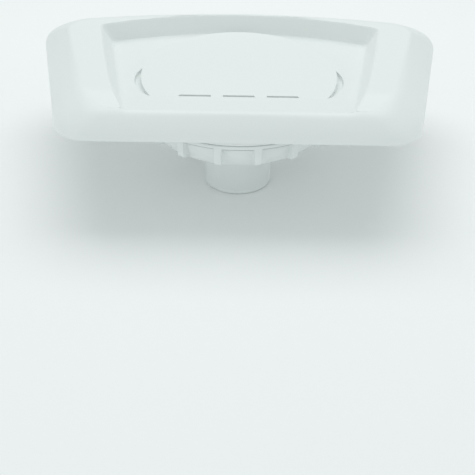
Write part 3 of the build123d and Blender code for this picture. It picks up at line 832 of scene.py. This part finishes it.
@dataclass
class Deck:
    """Lift-out deck: a disc cut off in front, its top sloped, with slots along the front edge."""

    chord: float = 28.2
    slope: float = 0.068
    edge_height: float = 2.0
    wall: float = 2.4
    edge_round: float = 0.7
    slot_count: int = 3
    slot_pitch: float = 24.0
    slot_length: float = 17.6
    slot_width: float = 2.0
    columns: int = 260

    def build(self) -> bpy.types.Object:
        """Makes the deck as cross-sections in Y and Z, one for each of many places along X.

        A section runs from the front edge, which steps back in the slots, to the circle behind.
        """
        radius = DECK_BOX[1, 0]
        low = DECK_BOX[0, 2]
        turn = np.linspace(0.012, math.pi - 0.012, self.columns)
        x = -radius * np.cos(turn)
        marks = (np.arange(self.slot_count) - (self.slot_count - 1) / 2) * self.slot_pitch
        ends = np.concatenate([marks - self.slot_length / 2, marks + self.slot_length / 2])
        near = ends[:, None] + np.linspace(-1.3, 1.3, 15)[None, :]
        x = np.unique(np.round(np.concatenate([x, near.ravel()]), 3))
        back = np.sqrt(radius**2 - x**2)
        front = np.maximum(-self.chord, -back)
        half = self.slot_length / 2
        apart = half - np.abs(x[:, None] - marks[None, :]).min(axis=1)
        r = self.slot_width / 2
        corner = r - np.sqrt(np.clip(r**2 - np.clip(r - apart, 0.0, r) ** 2, 0.0, None))
        depth = np.where(apart > 0.0, self.slot_width - corner, 0.0)
        front = np.minimum(front + depth, back)
        top_front = low + self.edge_height + self.slope * (front + self.chord)
        top_back = low + self.edge_height + self.slope * (back + self.chord)
        cut = np.minimum(self.edge_round, (back - front) * 0.2)
        steps = np.linspace(0.0, np.pi / 2, 6)
        rows = []
        for angle in steps:
            lift = cut * 0.5 * (1 - np.sin(angle))
            rows.append((front + cut * 0.5 * (1 - np.cos(angle)), top_front - lift))
        for share in crowded(14, 1.4, 1.4)[1:-1]:
            y = front + cut + (back - front - 2 * cut) * share
            rows.append((y, low + self.edge_height + self.slope * (y + self.chord)))
        for angle in steps[::-1]:
            rows.append((back - cut * (1 - np.cos(angle)), top_back - cut * (1 - np.sin(angle))))
        level = np.full_like(x, low)
        rows += [(back, low + 0.3 * cut), (back - 0.3 * cut, level)]
        inner_back, inner_front = back - cut - 7.0 * (back - front) / 90, front + 4.0 * cut
        rows.append((inner_back, level))
        under_back = low + self.edge_height + self.slope * (inner_back + self.chord) - self.wall
        under_front = low + self.edge_height + self.slope * (inner_front + self.chord) - self.wall
        rows.append((inner_back, np.maximum(low, under_back)))
        rows.append((inner_front, np.maximum(low, under_front)))
        rows += [(front + 0.3 * cut, level), (front, low + 0.3 * cut)]
        grid = np.stack([np.stack([x, y, z], axis=-1) for y, z in rows], axis=1)
        shell = Shell("deck_shell")
        shell.add_loop(grid, False)
        return shell.finish(shared(TRAY_PLASTIC), "deck", "tray_plastic", "deck")


# Bowl, spigot and seals -------------------------------------------------------------------------


class Cut(Enum):
    """What stands at an angle of the bowl's wall."""

    PLAIN = "plain"
    RIB = "rib"
    ENTRY = "entry"
    LEG = "leg"


@dataclass
class Bowl:
    """Drain bowl: dish, grip ribs under a band, and the rim with its bayonet grooves."""

    rib_count: int = 16
    rib_width: float = 4.2
    rib_length: float = 10.6
    rib_round: float = 3.0
    rim_wall: float = 3.2
    ledge_width: float = 3.6
    dish_wall: float = 3.8
    hole_inset: float = 6.0  # of the outlet hole inside the spigot's flange
    dish_depth: float = 17.3
    dish_straight: float = 1.3
    floor: float = 3.0
    band_height: float = 2.2
    groove_depth: float = 1.9
    groove_rise: float = 1.3
    leg_height: float = 3.4
    bump_depth: float = 1.3
    bump_margin: float = 1.2
    entry_dip: float = 1.0
    entry_sweep: float = 14.4
    leg_sweep: float = 13.0
    bayonet_count: int = 3
    bayonet_angle: float = 249.6

    def profile(self, cut: Cut) -> np.ndarray:
        """The wall's section at a plain angle, a rib, a bayonet entry or a bayonet leg.

        All four have the same corners in the same order, so any two can be mixed point by point.
        """
        base, rim_top = BOWL_BOX[0, 2], BOWL_BOX[1, 2]
        band = BOWL_BOX[1, 0]
        rim = band - self.ledge_width
        inner = rim - self.rim_wall
        dish = inner + self.dish_wall
        under = base + self.dish_depth
        ledge = under + self.band_height
        groove = ledge + self.groove_rise
        leg_top = groove + self.leg_height
        foot = under - self.rib_length
        hole = SPIGOT_BOX[1, 0] - self.hole_inset
        round_out = self.dish_depth - self.dish_straight
        round_in = round_out - self.floor
        reach = base + round_out - foot
        wall_at_foot = dish - round_out + math.sqrt(round_out**2 - reach**2)
        rib = cut is Cut.RIB
        sunk = rim - self.groove_depth
        open_leg = cut in (Cut.LEG, Cut.ENTRY)
        at_leg = sunk if open_leg else rim
        above = sunk if cut is Cut.ENTRY else rim
        top = rim_top - self.entry_dip if cut is Cut.ENTRY else rim_top
        bump = inner - self.bump_depth if open_leg else inner
        bump_top = top - 0.8 if cut is Cut.ENTRY else leg_top + self.bump_margin
        bump_low = groove - self.bump_margin
        arc = np.linspace(-np.pi / 2, -math.asin(reach / round_out), 11)
        dish_low = quarter(dish - round_out, base + round_out, round_out, arc)
        rise = np.linspace(-math.asin(reach / round_out), 0.0, 9)[1:]
        plain = quarter(dish - round_out, base + round_out, round_out, rise)
        step_out = soft_open([(dish, plain[-1, 1]), (dish, under), (band, under)], 0.5, 5)
        band_edge = [[band - 0.3, under], [band - 0.08, under + 0.1], [band, under + 0.4]]
        plain = np.vstack([plain, step_out, band_edge])
        ribbed = soft_open([(wall_at_foot, foot), (band, foot), (band, under + 0.4)], self.rib_round, 12)
        ribbed = resampled(ribbed, len(plain) + 1)[1:]
        sheath = ribbed if rib else plain
        rest = soft_path(
            [
                (band, under, 0.3),
                (band, ledge, 0.5),
                (rim, ledge, 0.35),
                (rim, groove, 0.2),
                (at_leg, groove + 0.01, 0.2),
                (at_leg, leg_top - 0.01, 0.2),
                (above, leg_top + 0.01, 0.2),
                (above, top, 0.9),
                (bump if cut is Cut.ENTRY else inner, top, 0.9),
                (bump if cut is Cut.ENTRY else inner, bump_top + 0.4, 0.3),
                (bump, bump_top, 0.3),
                (bump, bump_low + 0.4, 0.3),
                (inner, bump_low, 0.3),
            ],
            4,
        )[5:]
        inner_arc = np.linspace(0.0, -np.pi / 2, 20)
        lining = quarter(inner - round_in, base + self.floor + round_in, round_in, inner_arc)
        floor = base + self.floor
        neck = soft_open([(hole + 4, floor), (hole, floor), (hole, base)], 0.3, 4)
        start = np.array([[hole + 0.4, base]])
        return np.vstack([start, dish_low, sheath, rest, lining, neck])

    def share(self, angle: np.ndarray, middle: float, half: float, soft: float) -> np.ndarray:
        """How far an angle is inside a sector, from 0 outside to 1 inside, with soft borders."""
        apart = np.abs((angle - middle + np.pi) % (2 * np.pi) - np.pi)
        return smooth_step(half + soft / 2, half - soft / 2, apart)

    def angles(self) -> np.ndarray:
        """Column angles, close together at the borders of ribs, entries and legs."""
        reach = BOWL_BOX[1, 0]
        away = [0, 0.9, 1.5, 1.75, 1.87, 1.99, 2.1, 2.21, 2.33, 2.47, 2.8, 3.6, 5.0, 6.8, 8.7]
        steps = np.array(away) / reach
        steps = np.concatenate([-steps[:0:-1], steps])
        ribs = (np.arange(self.rib_count) + 0.5) * 2 * np.pi / self.rib_count
        angles = [(ribs[:, None] + steps[None, :]).ravel()]
        entry = np.radians(self.entry_sweep / 2)
        for index in range(self.bayonet_count):
            middle = self.bayonet(index)
            borders = [middle - entry - np.radians(self.leg_sweep), middle - entry, middle + entry]
            near = np.array(borders)[:, None] + np.linspace(-0.5, 0.5, 7)[None, :] / reach
            angles.append(near.ravel())
        return np.unique(np.round(np.concatenate(angles) % (2 * np.pi), 5))

    def bayonet(self, index: int) -> float:
        """Angle of the middle of an entry."""
        return math.radians(self.bayonet_angle + 360.0 / self.bayonet_count * index)

    def build(self) -> bpy.types.Object:
        """Makes the bowl: the plain section carried round, and moved to a rib's, an entry's or a
        leg's section where one stands. The share of each falls from 1 to 0 over its border."""
        angles = self.angles()
        plain = self.profile(Cut.PLAIN)
        section = np.repeat(plain[:, None], len(angles), axis=1)
        rim = BOWL_BOX[1, 0]
        ribs = np.zeros_like(angles)
        for index in range(self.rib_count):
            middle = (index + 0.5) * 2 * math.pi / self.rib_count
            ribs = np.maximum(ribs, self.share(angles, middle, self.rib_width / 2 / rim, 0.55 / rim))
        section = section + (self.profile(Cut.RIB) - plain)[:, None] * ribs[None, :, None]
        entries, legs = np.zeros_like(angles), np.zeros_like(angles)
        for index in range(self.bayonet_count):
            middle = self.bayonet(index)
            half = math.radians(self.entry_sweep / 2)
            entries = np.maximum(entries, self.share(angles, middle, half, 0.5 / rim))
            leg_half = half / 2 + math.radians(self.leg_sweep) / 2
            leg_middle = middle - half / 2 - leg_half
            legs = np.maximum(legs, self.share(angles, leg_middle, leg_half, 0.5 / rim))
        legs = legs * (1 - entries)
        section = section + (self.profile(Cut.ENTRY) - plain)[:, None] * entries[None, :, None]
        section = section + (self.profile(Cut.LEG) - plain)[:, None] * legs[None, :, None]
        radius = section[..., 0]
        grid = np.stack([radius * np.cos(angles), radius * np.sin(angles), section[..., 1]], axis=-1)
        shell = Shell("bowl_shell")
        shell.add_loop(grid)
        return shell.finish(shared(BOWL_PLASTIC), "bowl", "bowl_plastic", "drain_bowl")


def quarter(radius: float, height: float, size: float, angle: np.ndarray) -> np.ndarray:
    """Points at angles on a circle of a size round a radius and a height of the section."""
    return np.stack([radius + size * np.cos(angle), height + size * np.sin(angle)], axis=-1)


def soft_open(points: list[tuple[float, float]], cut: float, steps: int) -> np.ndarray:
    """An open profile whose inner corners are bridged by arcs that start a cut away."""
    inner = [(r, z, cut) for r, z in points[1:-1]]
    closed = soft_path([(*points[0], 0.0), *inner, (*points[-1], 0.0)], steps)
    step = steps + 1
    return np.vstack([closed[:1], closed[step:-step], closed[-1:]])


def resampled(path: np.ndarray, count: int) -> np.ndarray:
    """A path as evenly spaced points along its length."""
    length = np.concatenate([[0.0], np.cumsum(np.linalg.norm(np.diff(path, axis=0), axis=1))])
    wanted = np.linspace(0.0, length[-1], count)
    return np.stack([np.interp(wanted, length, path[:, k]) for k in range(2)], axis=-1)


@dataclass
class TurnedPieces:
    """Pieces that are round all the way: the outlet spigot, its seal and the rim's gasket."""

    columns: int = 160
    wall: float = 3.5
    flange_thickness: float = 2.4
    flange_width: float = 5.0
    gasket_width: float = 3.0
    seal_gap: float = 0.15
    neck_step: float = 1.4
    waist: float = 0.3
    bead_height: float = 1.6
    waist_height: float = 5.0
    tube_start: float = 9.0

    def angles(self) -> np.ndarray:
        """Even angles once round."""
        return np.arange(self.columns) * 2 * np.pi / self.columns

    def spigot(self) -> bpy.types.Object:
        """Tube with an end bead and a slight waist, the flange, and the neck through the bowl."""
        flange, top = SPIGOT_BOX[1, 0], SPIGOT_BOX[1, 2]
        outer = flange - self.flange_width
        bore = outer - self.wall
        neck = outer - self.neck_step
        flange_top = SEAL_BOX[0, 2]
        corners = [
            (bore, 0.0, 0.5),
            (outer, 0.0, 0.8),
            (outer, self.bead_height, 0.5),
            (outer - self.waist, self.bead_height + 0.6, 0.5),
            (outer - self.waist, self.waist_height, 1.6),
            (outer, self.tube_start, 2.0),
            (outer, flange_top - self.flange_thickness, 0.8),
            (flange, flange_top - self.flange_thickness, 0.5),
            (flange, flange_top, 0.5),
            (neck, flange_top, 0.3),
            (neck, top, 0.4),
            (bore, top, 0.4),
        ]
        shell = Shell("spigot_tube")
        shell.add_loop(turned(soft_path(corners, 6), self.angles()))
        return shell.finish(shared(BOWL_PLASTIC), "bowl", "bowl_plastic", "outlet_spigot")

    def ring(self, name: str, box: np.ndarray, inner: float, body: str, node: str) -> bpy.types.Object:
        """A rubber ring that fills its CAD node's box, with pressed round edges.

        Args:
            name: The new piece's name.
            box: Box of the CAD node in millimetres.
            inner: Radius of the hole.
            body: Body that it rides on.
            node: CAD node that it stands for.

        Returns:
            The new object.
        """
        outer, low, high = box[1, 0], box[0, 2], box[1, 2]
        edge = (high - low) * 0.3
        corners = [(inner, low, edge), (outer, low, edge), (outer, high, edge), (inner, high, edge)]
        shell = Shell(name)
        shell.add_loop(turned(soft_path(corners, 6), self.angles()))
        return shell.finish(shared(SEAL_RUBBER), body, "seal_rubber", node)

    def build(self) -> None:
        """Makes all three."""
        self.spigot()
        self.ring("rim_ring", GASKET_BOX, GASKET_BOX[1, 0] - self.gasket_width, "gasket", "rim_gasket")
        neck = SPIGOT_BOX[1, 0] - self.flange_width - self.neck_step
        self.ring("spigot_ring", SEAL_BOX, neck + self.seal_gap, "bowl", "spigot_seal")


@dataclass
class BowlFittings:
    """Pieces in the bowl whose CAD shape is right: nut, perforated plate and filter paper."""

    edge: float = 0.35
    edge_steps: int = 2

    def rounded_copy(self, name: str, node: str) -> bpy.types.Object:
        """A merged copy of a CAD node with small moulded radii on its edges."""
        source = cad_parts[node]
        mesh = source.data.copy()
        mesh.name = name
        work = bmesh.new()
        work.from_mesh(mesh)
        bmesh.ops.remove_doubles(work, verts=work.verts, dist=0.002 * MM)
        bmesh.ops.dissolve_limit(work, angle_limit=math.radians(1.0), verts=work.verts, edges=work.edges)
        work.to_mesh(mesh)
        work.free()
        mesh.polygons.foreach_set("use_smooth", np.ones(len(mesh.polygons), bool))
        mesh.set_sharp_from_angle(angle=SHARP_ANGLE)
        piece = bpy.data.objects.new(name, mesh)
        bpy.context.scene.collection.objects.link(piece)
        bevel = piece.modifiers.new("moulded edges", "BEVEL")
        bevel.width = self.edge * MM
        bevel.segments = self.edge_steps
        bevel.limit_method = "ANGLE"
        bevel.angle_limit = math.radians(50.0)
        bevel.harden_normals = True
        return piece

    def build(self) -> None:
        """Dresses the three pieces."""
        plastic = shared(INNER_PLASTIC)
        for name, node, body, slot in (
            ("hub_nut", "spider_nut", "bowl", "bowl_plastic"),
            ("sieve_plate", "filter_plate", "plate", "inner_plastic"),
        ):
            piece = self.rounded_copy(name, node)
            piece.data.materials.clear()
            piece.data.materials.append(plastic)
            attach(piece, body)
            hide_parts(node)
            log.info("%s: %d faces for %s", name, len(piece.data.polygons), node)
        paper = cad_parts["filter_paper"]
        paper.data.materials.clear()
        paper.data.materials.append(shared(PAPER))


# Studio -----------------------------------------------------------------------------------------


@dataclass(frozen=True)
class Softbox:
    """A soft rectangular light that looks at a point."""

    name: str
    place: tuple[float, float, float]
    target: tuple[float, float, float]
    width: float
    height: float
    watts: float
    colour: str = "#FFFFFF"

    def build(self) -> None:
        """Adds the light to the scene."""
        data = bpy.data.lights.new(self.name, "AREA")
        data.shape = "RECTANGLE"
        data.size, data.size_y = self.width, self.height
        data.energy = self.watts
        data.color = linear(self.colour)[:3]
        lamp = bpy.data.objects.new(self.name, data)
        bpy.context.scene.collection.objects.link(lamp)
        lamp.location = self.place
        aim = Vector(self.target) - Vector(self.place)
        lamp.rotation_euler = aim.to_track_quat("-Z", "Y").to_euler()


@dataclass
class Studio:
    """Pale sweep, soft light and the camera."""

    sweep_size: float = 3.0
    world_colour: str = "#EDF5F5"
    world_strength: float = 0.66
    camera_place: tuple[float, float, float] = (0.0, -0.4417, 0.2612)
    lens: float = 62.98
    shift_up: float = -0.127
    roll: float = 0.9

    def build(self) -> None:
        """Sets the floor, the lights, the world and the camera."""
        scene = bpy.context.scene
        scene.view_settings.view_transform = "Standard"
        self.floor()
        self.world()
        for lamp in (
            Softbox("overhead", (0.0, 0.28, 0.97), (0.0, 0.0, 0.06), 1.1, 0.8, 3.9),
            Softbox("left strip", (-0.8, -0.6, 0.2), (0.0, 0.0, 0.05), 0.4, 0.6, 0.9),
            Softbox("right strip", (0.9, -0.35, 0.3), (0.0, 0.0, 0.05), 0.4, 0.6, 0.6),
        ):
            lamp.build()
        data = bpy.data.cameras.new("camera")
        data.lens, data.sensor_width, data.shift_y = self.lens, 36.0, self.shift_up
        camera = bpy.data.objects.new("camera", data)
        scene.collection.objects.link(camera)
        camera.location = self.camera_place
        aim = (-Vector(self.camera_place)).to_track_quat("-Z", "Y")
        camera.rotation_euler = (aim @ Euler((0, 0, math.radians(self.roll))).to_quaternion()).to_euler()
        scene.camera = camera

    def floor(self) -> None:
        """A level square sheet under the spigot."""
        half = self.sweep_size / 2
        mesh = bpy.data.meshes.new("sweep")
        corners = [(-half, -half, 0.0), (half, -half, 0.0), (half, half, 0.0), (-half, half, 0.0)]
        mesh.from_pydata(corners, [], [(0, 1, 2, 3)])
        mesh.materials.append(shared(SWEEP))
        sheet = bpy.data.objects.new("sweep", mesh)
        sheet.location.z = -0.0002
        bpy.context.scene.collection.objects.link(sheet)

    def world(self) -> None:
        """An even pale surround."""
        world = bpy.data.worlds.new("surround")
        bpy.context.scene.world = world
        world.use_nodes = True
        background = world.node_tree.nodes["Background"]
        background.inputs["Color"].default_value = linear(self.world_colour)
        background.inputs["Strength"].default_value = self.world_strength


def main() -> None:
    """Builds every piece in order, then the studio."""
    logging.basicConfig(level=logging.INFO, format="%(name)s: %(message)s")
    Tray().build()
    Deck().build()
    Bowl().build()
    TurnedPieces().build()
    BowlFittings().build()
    Studio().build()


if __name__ == "__main__":
    main()
